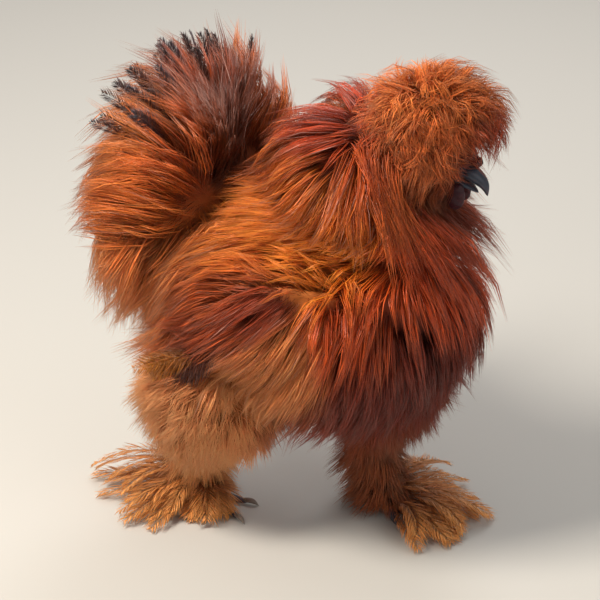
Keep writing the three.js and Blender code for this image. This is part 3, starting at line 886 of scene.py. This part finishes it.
# %% Hackle and bib
def hackle_flow(points, normals):
    out = np.sign(points[:, 1:2]) * np.array([[0, 1.0, 0]])
    side = np.clip(np.abs(normals[:, 1:2]), 0, 1)
    front = np.clip(normals[:, :1] * 1.5, 0, 1)
    lie = np.array([[-1.0, 0, -0.25]]) + 0.5 * out * (1 - side) + np.array([[0.3, 0, -1.0]]) * side
    return lie * (1 - front) + (np.array([[0.25, 0, -1.0]]) + 0.35 * out) * front


def hackle_depth(points):
    return 38 + 6 * ramp(points[:, 0], 84, 100) - 6 * ramp(points[:, 2], 292, 316)


def hackle_length(points):
    return 66 + 18 * ramp(points[:, 0], 70, 96)


coat("hackle_plumage", "hackle", "neck", NECK, -26, as_is, 1150, 11, hackle_length, hackle_depth,
     hackle_flow, 6, 0.2, u_range=(0.1, 1), width=0.65, glint=0.05)


def bib_flow(points, normals):
    return np.array([[0.35, 0, -1.0]]) + 0.4 * normals


def on_the_throat(roots, normals):
    return (normals[:, 0] > 0.1) & (roots[:, 2] < 300)


coat("bib_plumage", "hackle", "bib", NECK, -26, as_is, 420, 10, 80, 34, bib_flow, 7, 0.4,
     u_range=(0.78, 1), rise=0.5, width=0.65, keep=on_the_throat)

# %% [markdown]
# ## Thighs, wings and rump
# The thighs are the fluffiest part: short down that stands off to all sides, so its strands hardly
# gather. The wing's coverts lie close and sweep back and down. Right and left come from one loop.


# %% Thighs, wings and rump
def thigh_flow(points, normals):
    return np.array([[-0.15, 0, -1.0]]) + 0.6 * normals


def wing_flow(points, normals):
    steep = ramp(points[:, :1], -20, 60)
    return np.array([[-1.0, 0, -0.8]]) + np.array([[0.3, 0, -0.5]]) * steep + 0.1 * normals


for side, thigh in (("right", RIGHT_THIGH), ("left", LEFT_THIGH)):
    coat(f"thigh_plumage_{side}", "thigh", f"leg_{side}", thigh, -22, as_is, 1300, 11, 29, 27,
         thigh_flow, 6, 0.85, material=DOWN, width=0.65, steps=3, vary=0.1, fuzz=0.6)
for side, wing in (("right", WING), ("left", mirrored(WING))):
    coat(f"wing_plumage_{side}", "wing", f"wing_{side}", wing, -4, wing_place, 450, 11, 48, 20,
         wing_flow, 6, 0.2, width=0.7, glint=0.03)
coat("rump_plumage", "body", "rump", TORSO, 5, as_is, 620, 10, 62, 34, thigh_flow, 8, 0.5, steps=3,
     fuzz=0.2, u_range=(0, 0.22), material=DOWN)

# %% [markdown]
# ## Tail
# The tail is a cushion with no stiff feathers. Its plumage springs from the line where the saddle
# ends, streams over the cushion to all sides and curls down behind. A rule by the way the skin faces
# can't give that, as it has to part at one line, so the lie is worked out as the way from that line.

# %% Tail coat
SPRING_TOP, SPRING_SIDE = np.array([-52.0, 0, 262]), np.array([-70.0, -66, 190])


def tail_flow(points, normals):
    side = np.where(points[:, 1:2] < 0, 1.0, -1.0)
    end = SPRING_SIDE * np.concatenate([np.ones_like(side), side, np.ones_like(side)], axis=1)
    line = end - SPRING_TOP
    share = np.sum((points - SPRING_TOP) * line, axis=1, keepdims=True)
    share = share / np.sum(line * line, axis=1, keepdims=True)
    from_spring = points - (SPRING_TOP + line * np.clip(share, 0, 1))
    far = np.linalg.norm(from_spring, axis=1, keepdims=True)
    fall = 0.9 * ramp(far, 20, 90) * (1 - ramp(points[:, 2:], 255, 295))
    return unit(from_spring) + np.array([[-0.2, 0, -1.0]]) * fall + 0.12 * normals


def tail_length(points):
    return 72 + 34 * ramp(-points[:, 2], -230, -150)


def tail_depth(points):
    return 42 + 12 * ramp(-points[:, 2], -210, -150) - 12 * ramp(points[:, 1], 20, 60)


for side, v_range in (("right", (0, 180)), ("left", (180, 360))):
    coat(f"tail_plumage_{side}", "tail", f"tail_{side}", TAIL, -40, tail_place, 1000, 11, tail_length,
         tail_depth, tail_flow, 8, 0.3, v_range=v_range, width=0.7, glint=0.02)

# %% [markdown]
# ## Down under the tail
# Below the cushion loose down hangs over the back of the thighs. It grows on the back half alone.


# %% Down under the tail
def hang_flow(points, normals):
    return np.array([[-0.45, 0, -1.0]]) + 0.5 * normals


def faces_back(roots, normals):
    return normals[:, 0] < 0.3


coat("tail_hanging", "tail", "tail_low", TAIL, -40, tail_place, 800, 11, 74, 50, hang_flow, 8, 0.4,
     steps=3, rise=0.6, u_range=(0, 0.5), keep=faces_back, material=DOWN)

# %% [markdown]
# ## Crest
# The crest is a ball of down that rises from the crown and falls all round, over the eyes and the
# comb. Strands traced over the skin would lie flat on it, so here the guides run from the skull to
# the ball's surface and bend down on the way.

# %% Crest coat
CREST_MIDDLE, CREST_RADII = np.array([6.0, 0, 25]), np.array([54.0, 45, 46])


def crest_coat(count, strands, spread, gather, width):
    """No lock grows straight down, or to the front where the bill has to stay clear."""
    way = unit(rng.normal(size=(count * 2, 3)))
    way = way[(way[:, 2] > -0.8) & ~((way[:, 0] > 0.5) & (way[:, 2] < -0.12))][:count]
    end = unit(way + [0.12, 0, -0.5] + 0.28 * rng.normal(size=way.shape))
    size = 1 + 0.05 * noise_field(way * 30, 9, 3) + 0.05 * rng.normal(size=len(way))
    t = np.linspace(0, 1, POINTS_PER_STRAND)[None, :, None]
    deep = rng.uniform(0.6, 1, len(way)) ** 0.6
    share = 0.3 + np.sin(t * np.pi / 2) * ((deep * size)[:, None, None] - 0.3)
    turn = unit(way[:, None] * (1 - t**1.4) + end[:, None] * t**1.4)
    guides = CREST_MIDDLE + turn * share * CREST_RADII
    paths = on_head(clump(guides, strands, spread, gather, wave=0.8).reshape(-1, 3))
    paths = paths.reshape(-1, POINTS_PER_STRAND, 3)
    u = np.repeat((way[:, 2] + 1) / 2, strands)
    v = np.repeat(np.degrees(np.arctan2(way[:, 1], way[:, 0])), strands)
    lock = np.repeat(1 + 0.15 * rng.normal(size=len(way)), strands)
    widths = width * rng.uniform(0.7, 1.3, len(paths))
    colours = plumage_colours(paths, per_lock=lock)
    strand_piece("crest_plumage", paths, widths, colours, bake_place("crest", u, v), DOWN)


crest_coat(1320, 10, 5, 0.7, 0.58)

# %% [markdown]
# ## Face
# Under the crest the face is bare and dark. The comb is a wrinkled lump like half a walnut. A bump
# in the material would leave its outline smooth, so small balls are pushed into large ones and fused
# by a fine remesh.


# %% Comb
def piece(name, lofts, material, *nodes, slot, place=on_head, modifiers=()):
    """A finished piece from lofts. It takes the place of the nodes that are named."""
    points, faces = joined(lofts)
    obj = mesh_object(name, to_model(place(points)), faces, material)
    if modifiers:
        settle(obj, *modifiers)
    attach(obj, "root")
    if nodes:
        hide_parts(*nodes)
    print(name, len(obj.data.polygons), "faces")
    return obj


def ball(middle, radius, steps=16, sides=20, squash=(1, 1, 1)):
    form = {"line": [(-radius, 0, 0), (0, 0, 0), (radius, 0, 0)], "wide": [radius] * 3}
    points, faces = loft(form, 0, steps, sides)
    return points * squash + np.asarray(middle, float), faces


FUSED = (
    ("REMESH", {"mode": "VOXEL", "voxel_size": 0.6 * MM, "use_smooth_shade": True}),
    ("SMOOTH", {"factor": 0.5, "iterations": 2}),
)
COMB_LOBES = [
    ((28, 0, 5), 6.5), ((34, 0, 0), 4.5), ((26, 6, 4), 5), ((26, -6, 4), 5),
    ((21, 3.5, 9), 4.5), ((21, -3.5, 9), 4.5),
]
COMB_SQUASH = (1, 1, 0.85)
WARTS_PER_LOBE = 9


def comb_lobes():
    local = np.random.default_rng(4)
    balls = [ball(middle, radius * 0.93, squash=COMB_SQUASH) for middle, radius in COMB_LOBES]
    for middle, radius in COMB_LOBES:
        for _ in range(WARTS_PER_LOBE):
            way = unit(local.normal(size=3))
            way[2] = abs(way[2])
            wart = np.array(middle) + way * radius * 0.8 * COMB_SQUASH
            balls.append(ball(wart, radius * 0.3, 8, 10))
    return balls


piece("comb_detail", comb_lobes(), COMB_SKIN, "comb", slot="comb", modifiers=FUSED)

# %% [markdown]
# ## Wattles, earlobes and eyes
# Two short wattles hang by the bill, and the lobes behind the cheek are turquoise. Both are folds of
# soft skin, so a ripple runs over their lofts. Each eye is a wet ball, set in under its lids.

# %% Wattles, earlobes and eyes
WATTLE = {"line": [(25, -6, -13), (22, -8, -31)], "wide": [5, 7], "high": [3, 3.5], "up": (0, 1, 0)}
EARLOBE = {"line": [(0, -17.5, -1), (-3, -18, -14)], "wide": [5, 5], "high": [3, 3], "up": (0, 1, 0)}


def wrinkle(u, v):
    folds, depth = 6, 0.5
    return depth * np.sin(u * folds * np.pi) * (0.6 + 0.4 * np.cos(np.radians(v) * 3)) - depth


def on_left_of_head(points):
    return on_head(np.asarray(points) * (1, -1, 1))


# On the left the points are mirrored, which turns faces inside out, so their order is reversed.
for side, place, order in (("right", on_head, 1), ("left", on_left_of_head, -1)):
    for name, form, material, slot in (
        ("wattle", WATTLE, COMB_SKIN, "comb"),
        ("earlobe", EARLOBE, LOBE_SKIN, "earlobe"),
    ):
        points, faces = loft(form, 0, 40, 40, ripple=wrinkle)
        piece(f"{name}_detail_{side}", [(points, [f[::order] for f in faces])], material,
              f"{name}_{side}", slot=slot, place=place)
    eye_points, eye_faces = ball(EYE_MIDDLE, EYE_RADIUS * 0.985, 24, 32)
    piece(f"eye_ball_{side}", [(eye_points, [f[::order] for f in eye_faces])], EYE, f"eye_{side}",
          slot="eye", place=place)

# %% [markdown]
# ## Beak
# The upper half of the beak hooks over the lower one. The nostrils are slits near its base, and a
# dark line marks the mouth. Both are thin dark beads half sunk in the horn, as a cut would be lost
# at this size.

# %% Beak
BEAK_UPPER = {
    "line": [(18, 0, -5), (30, 0, -7), (39, 0, -14), (42, 0, -22)],
    "wide": [8, 7.5, 4.5, 1.2],
    "high": [6, 5, 3.5, 1.5],
}
BEAK_LOWER = {
    "line": [(18, 0, -11), (28, 0, -15), (36, 0, -20.5)],
    "wide": [7, 6, 2.5],
    "high": [4, 2.6, 1.2],
}
piece("beak_upper_detail", [loft(BEAK_UPPER, 0, 30, 32)], HORN, "beak_upper", slot="beak")
piece("beak_lower_detail", [loft(BEAK_LOWER, -0.1, 24, 28)], HORN, "beak_lower", slot="beak")

NOSTRIL = {"line": [(28, -7.2, -5.6), (33, -5.6, -8.0)], "wide": [0.9, 0.8], "up": (0, 1, 0)}
MOUTH = {
    "line": [(19, -7.4, -9.6), (29, -6.6, -11.8), (36, -3.6, -16.8)],
    "wide": [0.5, 0.5, 0.4],
    "up": (0, 1, 0),
}
for name, form in (("nostrils", NOSTRIL), ("mouth_line", MOUTH)):
    points, faces = loft(form, 0, 16, 14)
    other = (points * (1, -1, 1), [f[::-1] for f in faces])
    piece(name, [(points, faces), other], COMB_SKIN, slot="beak")

# %% [markdown]
# ## Face skin, lids and muffs
# A ring of skin closes about each eye as its lids, and a remesh fuses it with the face. Muffs of
# short down cover the cheeks and the throat, but leave the mask about the eye and the bill free.


# %% Face skin, lids and muffs
def ring_of(middle, radius, thick, turns=40, sides=12):
    """A closed ring about the eye, flat against the side of the head."""
    a = np.repeat(np.linspace(0, 2 * np.pi, turns, endpoint=False), sides)
    b = np.tile(np.linspace(0, 2 * np.pi, sides, endpoint=False), turns)
    r = radius + thick * np.cos(b)
    points = np.stack([r * np.cos(a), thick * np.sin(b), r * np.sin(a)], axis=1) + middle
    at = lambda i, j: (i % turns) * sides + j % sides
    faces = []
    for i in range(turns):
        faces += [(at(i, j), at(i, j + 1), at(i + 1, j + 1), at(i + 1, j)) for j in range(sides)]
    return points, faces


LID_OUT = 2  # how far the lids stand out past the middle of the eye
lids = []
for hand in (-1, 1):
    middle = np.array([EYE_MIDDLE[0], hand * (abs(EYE_MIDDLE[1]) + LID_OUT), EYE_MIDDLE[2]])
    lids.append(ring_of(middle, EYE_RADIUS - 0.2, 1.0))
piece("face_skin", [loft(SKULL, 0.4, 40, 48), *lids], FACE_SKIN, slot="face", modifiers=FUSED)

BARE_RADIUS, BARE_FRONT, BARE_TOP = 8, 22, 12  # about the eye, before the cheek, and above it


def beard_flow(points, normals):
    return np.array([[-0.35, 0, -1.0]]) + 0.5 * normals


def off_the_mask(roots, normals):
    local = (roots - HEAD_AT) @ turn_matrix(HEAD_TURN)
    by_eye = np.hypot(local[:, 0] - EYE_MIDDLE[0], local[:, 2] - EYE_MIDDLE[2]) < BARE_RADIUS
    return ~by_eye & (local[:, 0] < BARE_FRONT) & (local[:, 2] < BARE_TOP)


coat("muff_plumage", "face", "head", SKULL, 0, on_head, 1000, 11, 38, 26, beard_flow, 4, 0.6, width=0.5,
     material=DOWN, keep=off_the_mask, steps=3, fuzz=0.25)

# %% [markdown]
# ## Feet
# The shank and the toes are slate, with scutes across the front, and each toe ends in a pale claw.
# This breed has a fifth toe that stands up behind. A bump would do for the scutes from afar, but a
# ripple of the loft gives them edges that catch the light close by.

# %% Shanks, toes and claws
TOES = [(32, 34, 0), (0, 44, 0), (-34, 36, 0), (168, 20, 0), (140, 20, 13)]  # heading, length, lift
TOE_RADIUS, TOE_HEIGHT = 3.4, 2.5
SCUTE_DEPTH = 0.5


def scutes(count):
    """Scales across the top and sides, as a ripple for a loft."""

    def ripple(u, v):
        scale = np.abs(np.sin(u * count * np.pi)) ** 0.5 - 1
        return SCUTE_DEPTH * scale * (np.sin(np.radians(v)) > -0.3)

    return ripple


def foot_lofts(at, turn, side, hock):
    toes, claws = [], []
    for heading, length, lift in TOES:
        way = math.radians(turn + side * heading)
        out = lambda r, z: (at[0] + r * math.cos(way), at[1] + r * math.sin(way), z)
        end = TOE_HEIGHT - 0.7 + lift
        toe = {
            "line": [out(-3, 6.5), out(length * 0.45, TOE_HEIGHT + lift * 0.5), out(length, end)],
            "wide": [4.2, TOE_RADIUS, 2.8],
        }
        claw = {
            "line": [out(length - 5, end + 0.8), out(length + 3, end + 1.2), out(length + 8, end - 1.6)],
            "wide": [2, 1.8, 0.5],
        }
        toes.append(loft(toe, 0, 60, 20, ripple=scutes(length / 3)))
        claws.append(loft(claw, 0, 18, 14))
    middle = ((hock[0] + at[0]) / 2 - 2, (hock[1] + at[1]) / 2, hock[2] / 2)
    shank = {"line": [hock, middle, (at[0], at[1], 6)], "wide": [7, 5.5, 6.5], "up": (1, 0, 0)}
    toes.append(loft(shank, 0, 80, 24, ripple=scutes(16)))
    return toes, claws


def flat_soles(obj):
    """What would pass through the floor is pressed flat on it."""
    for vertex in obj.data.vertices:
        vertex.co.z = max(vertex.co.z, 0.0)


for side, at, turn, hand, hock in (
    ("right", RIGHT_FOOT, -26, 1, RIGHT_HOCK),
    ("left", LEFT_FOOT, -12, -1, LEFT_HOCK),
):
    toes, claws = foot_lofts(at, turn, hand, hock)
    flat_soles(piece(f"toes_{side}", toes, LEG_SKIN, f"foot_{side}", slot="foot", place=as_is,
                     modifiers=(FUSED[0],)))
    flat_soles(piece(f"claws_{side}", claws, CLAW, slot="foot", place=as_is))

# %% [markdown]
# ## Feathers with a shaft
# The flight feathers, the highest tail feathers and the foot feathers still show a shaft with
# barbs on both sides. A flat card with a picture would do in a game, but not close by. So each barb
# is a strand that leaves the shaft at a slant and bends forward, no two alike, as they are frayed.

# %% Feathers with a shaft
BARBS = 46  # on each side of a shaft
SHAFT_WIDTH = 1.3


def bend(root, via, tip, t):
    return (1 - t) ** 2 * root + 2 * t * (1 - t) * via + t**2 * tip


def bend_slope(root, via, tip, t):
    return 2 * (1 - t) * (via - root) + 2 * t * (tip - via)


def blend(start, end, t):
    return np.array(linear(start)[:3]) * (1 - t) + np.array(linear(end)[:3]) * t


def feathers(name, region, specs):
    """specs: root, via, tip, half width, base colour, tip colour, and the way the vane faces."""
    paths, widths, colours, places = [], [], [], []
    for n, (root, via, tip, half, base, end, facing) in enumerate(specs):
        root, via, tip, facing = (np.asarray(x, float) for x in (root, via, tip, facing))
        shaft_t = np.linspace(0, 1, POINTS_PER_STRAND)
        paths.append(np.stack([bend(root, via, tip, t) for t in shaft_t]))
        widths.append(SHAFT_WIDTH)
        colours.append(np.stack([blend(base, end, t) * 1.2 for t in shaft_t]))
        for side in (-1, 1):
            for k in range(BARBS):
                t = 0.1 + 0.88 * (k + rng.uniform(-0.4, 0.4)) / BARBS
                forward = unit(bend_slope(root, via, tip, t))
                across = unit(np.cross(forward, facing)) * side
                reach = half * (np.sin(np.pi * min(t * 0.9 + 0.12, 1)) ** 0.6) * rng.uniform(0.75, 1.15)
                start = bend(root, via, tip, t)
                droop = facing * rng.uniform(-2.4, 1.0)
                slant = rng.uniform(0.5, 1.15)
                barb = [
                    start + (across * s + forward * (slant * s + 0.8 * s * s)) * reach + droop * s * s
                    for s in np.linspace(0, 1, POINTS_PER_STRAND)
                ]
                paths.append(np.stack(barb))
                widths.append(rng.uniform(0.6, 1.0))
                shade = rng.uniform(0.75, 1.25)
                pale = [1 + 0.15 * s for s in range(POINTS_PER_STRAND)]
                colours.append(np.stack([blend(base, end, t) * shade * p for p in pale]))
        spot = bake_place(region, np.array([(n + 0.5) / len(specs)]), np.array([180.0]))[0]
        places += [spot] * (2 * BARBS + 1)
    strand_piece(name, np.stack(paths), np.array(widths), np.stack(colours), np.array(places), SILK)


# %% [markdown]
# ## Foot feathers
# Feathers fan out low over the floor from the outer side of each foot. They are laid in layers, with
# the upper ones higher at the root, and each comes down to the floor at its tip.

# %% Foot feathers
FOOT_LAYERS = 4


def foot_specs(at, fan):
    specs = []
    for heading, start, length, high in fan:
        for layer in range(FOOT_LAYERS):
            way = math.radians(heading + rng.uniform(-13, 13))
            out = lambda r, z: (at[0] + r * math.cos(way), at[1] + r * math.sin(way), z)
            reach = length * rng.uniform(0.72, 1.1)
            tall = high * (0.5 + 1.1 * (layer + rng.uniform(0, 1)) / FOOT_LAYERS)
            sway = rng.uniform(-5, 5)
            via = np.array(out(start + reach * 0.55, tall * 1.4))
            via += [-math.sin(way) * sway, math.cos(way) * sway, 0]
            root, tip = out(start - 4, tall * 0.8), out(start + reach, 2.5 + layer)
            specs.append((root, via, tip, rng.uniform(8, 12), "#9C4E1C", "#E6A058", (0, 0, 1)))
    return specs


# Each with its heading in degrees, where it starts, its length, and the height of its root.
RIGHT_FAN = [
    (-30, 14, 26, 13), (-62, 6, 40, 13), (-90, 2, 60, 14), (-112, 1, 66, 15), (-134, 1, 72, 17),
    (-156, 0, 80, 19), (-178, 0, 84, 22),
]
LEFT_FAN = [
    (-34, 26, 44, 12), (-12, 24, 52, 12), (10, 20, 54, 13), (36, 3, 62, 13), (66, 2, 62, 14),
    (98, 1, 64, 16), (132, 0, 66, 19),
]
for side, at, fan in (("right", RIGHT_FOOT, RIGHT_FAN), ("left", LEFT_FOOT, LEFT_FAN)):
    feathers(f"foot_feathers_{side}", f"foot_{side}", foot_specs(at, fan))

# %% [markdown]
# ## Flight feathers
# A silkie can't fly: the flights are short and ragged, and hang from the wing's edge like a fringe.
# The hind ones are paler.

# %% Flight feathers
FLIGHTS = 6


def wing_specs(hand):
    specs = []
    for i in range(FLIGHTS):
        t = 0.4 + 0.6 * i / (FLIGHTS - 1)
        root = np.array([4 - 46 * t, -83 - 3 * t, 172 - 22 * t])
        angle = math.radians(-62 + 34 * t)
        reach = (56 - 6 * t) * rng.uniform(0.92, 1.06)
        tip = root + np.array([-math.cos(angle) * reach, -3, math.sin(angle) * reach])
        via = (root + tip) / 2 + np.array([0, -5, 0])
        flip = np.array([1, hand, 1])
        end = "#C8801E" if i > 2 else "#2A1512"
        specs.append((root * flip, via * flip, tip * flip, 9, "#6A2A10", end, (0, -hand, 0.2)))
    return specs


for side, hand in (("right", 1), ("left", -1)):
    feathers(f"flight_feathers_{side}", f"wing_{side}", wing_specs(hand))

# %% [markdown]
# ## Tail feathers
# At the top of the cushion the ends of the tail feathers show, slate to black. They run from inside
# the cushion to just past its surface, at random over the upper part.

# %% Tail feathers
TAIL_FEATHERS = 36


def tail_specs():
    specs = []
    for _ in range(TAIL_FEATHERS):
        way = unit(np.array([rng.uniform(-0.9, 0.3), rng.uniform(-0.95, 0.95), rng.uniform(0.55, 1.1)]))
        root = TAIL_MIDDLE + way * TAIL_RADII * 0.5
        tip = TAIL_MIDDLE + unit(way + [-0.12, 0, 0.05]) * TAIL_RADII * rng.uniform(0.96, 1.06)
        via = TAIL_MIDDLE + unit(way + [0.05, 0, 0.1]) * TAIL_RADII * 0.84
        facing = turn_matrix(TAIL_TURN) @ unit(way * [1, 0.4, 0.1] + [0.3, 0, 0.1])
        end = "#2B2628" if rng.uniform() < 0.6 else "#3A3A44"
        specs.append((*on_tail([root, via, tip]), rng.uniform(5, 7.5), "#6A2C14", end, facing))
    return specs


feathers("tail_feathers", "tail_top", tail_specs())

# %% [markdown]
# ## Shank fluff
# Above the toes the shank is hidden by fluff that hangs from the hock. There is no fused skin to
# trace over here, so each guide is a plain bend from the shank's own line, out and down.


# %% Shank fluff
def shank_fluff(name, region, hock, at):
    count, strands, steps, reach_mm = 480, 10, 3, 32
    t = rng.uniform(0.0, 1.0, count)
    angle = rng.uniform(0, 2 * np.pi, count)
    low, high = np.array([at[0], at[1], 8.0]), np.array(hock, float)
    root = low + (high - low) * t[:, None]
    out = np.stack([np.cos(angle), np.sin(angle), np.zeros(count)], axis=1)
    reach = reach_mm * rng.uniform(0.6, 1.1, count)[:, None]
    tip = root + out * reach + np.array([-4.0, 0, 0])
    tip[:, 2] -= 26 * rng.uniform(0.5, 1, count)
    tip[:, 2] = np.maximum(tip[:, 2], 3)
    via = root + out * reach * 0.75
    guides = bend(root[:, None], via[:, None], tip[:, None], np.linspace(0, 1, steps)[None, :, None])
    paths = clump(guides, strands, 4, 0.7, wave=0.6)
    paths[..., 2] = np.maximum(paths[..., 2], 1.0)
    places = np.repeat(bake_place(region, t, np.degrees(angle)), strands, axis=0)
    widths = 0.7 * rng.uniform(0.7, 1.3, len(paths))
    strand_piece(name, paths, widths, plumage_colours(paths), places, DOWN)


shank_fluff("shank_plumage_right", "shank_right", RIGHT_HOCK, RIGHT_FOOT)
shank_fluff("shank_plumage_left", "shank_left", LEFT_HOCK, LEFT_FOOT)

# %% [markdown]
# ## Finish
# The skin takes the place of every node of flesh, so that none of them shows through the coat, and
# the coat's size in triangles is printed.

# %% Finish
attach(skin, "root")
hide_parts(*SKIN_FORMS)
print("coat", sum(coat_sizes), "triangles")
